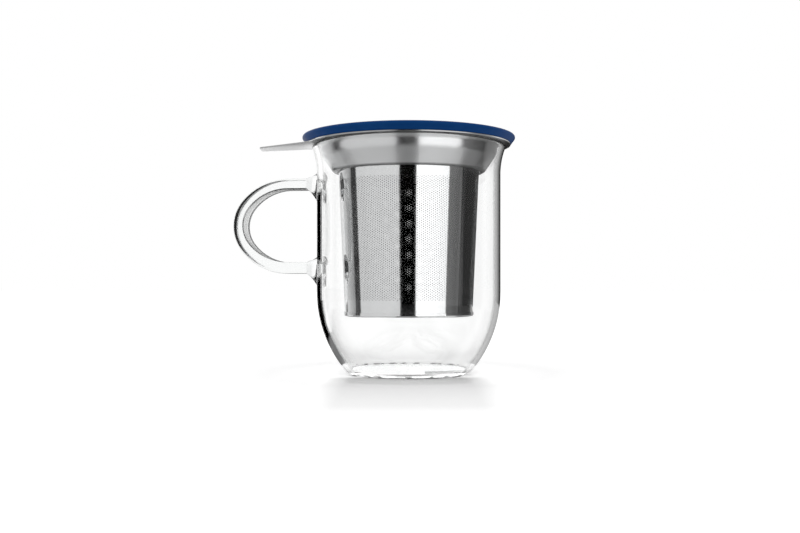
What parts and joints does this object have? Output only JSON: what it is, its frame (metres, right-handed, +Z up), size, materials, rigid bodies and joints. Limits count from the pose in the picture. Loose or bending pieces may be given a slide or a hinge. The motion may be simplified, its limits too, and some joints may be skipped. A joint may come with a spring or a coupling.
{
  "type": "lidded tea mug with infuser",
  "caption": "Clear glass mug with a D-shaped glass handle, a hanging steel strainer with a grip tab, and a round lift-off lid with a soft dark blue rim.",
  "frame": {"origin": "centre of the foot's flat underside, on the mug's axis", "axes": "+Z up along the mug's axis, -X towards the handle, +Y completes the right-handed frame"},
  "size_m": [0.1314, 0.0984, 0.1095],
  "materials": {
    "glass": "clear, polished",
    "steel": "bright, lightly brushed",
    "mesh_steel": "bright, perforated",
    "lid_blue": "satin"
  },
  "bodies": {
    "mug": {"mug_body": "glass", "mug_handle": "glass"},
    "infuser": {"infuser_collar": "steel", "strainer_wall": "mesh_steel", "strainer_floor": "mesh_steel"},
    "lid": {"lid_rim": "lid_blue", "lid_plate": "steel"}
  },
  "joints": [
    {"name": "infuser_lift", "type": "slide", "parent": "mug", "child": "infuser", "axis": [0, 0, 1], "range_m": [0, 0.09]},
    {"name": "lid_lift", "type": "slide", "parent": "infuser", "child": "lid", "axis": [0, 0, 1], "range_m": [0, 0.03]}
  ]
}
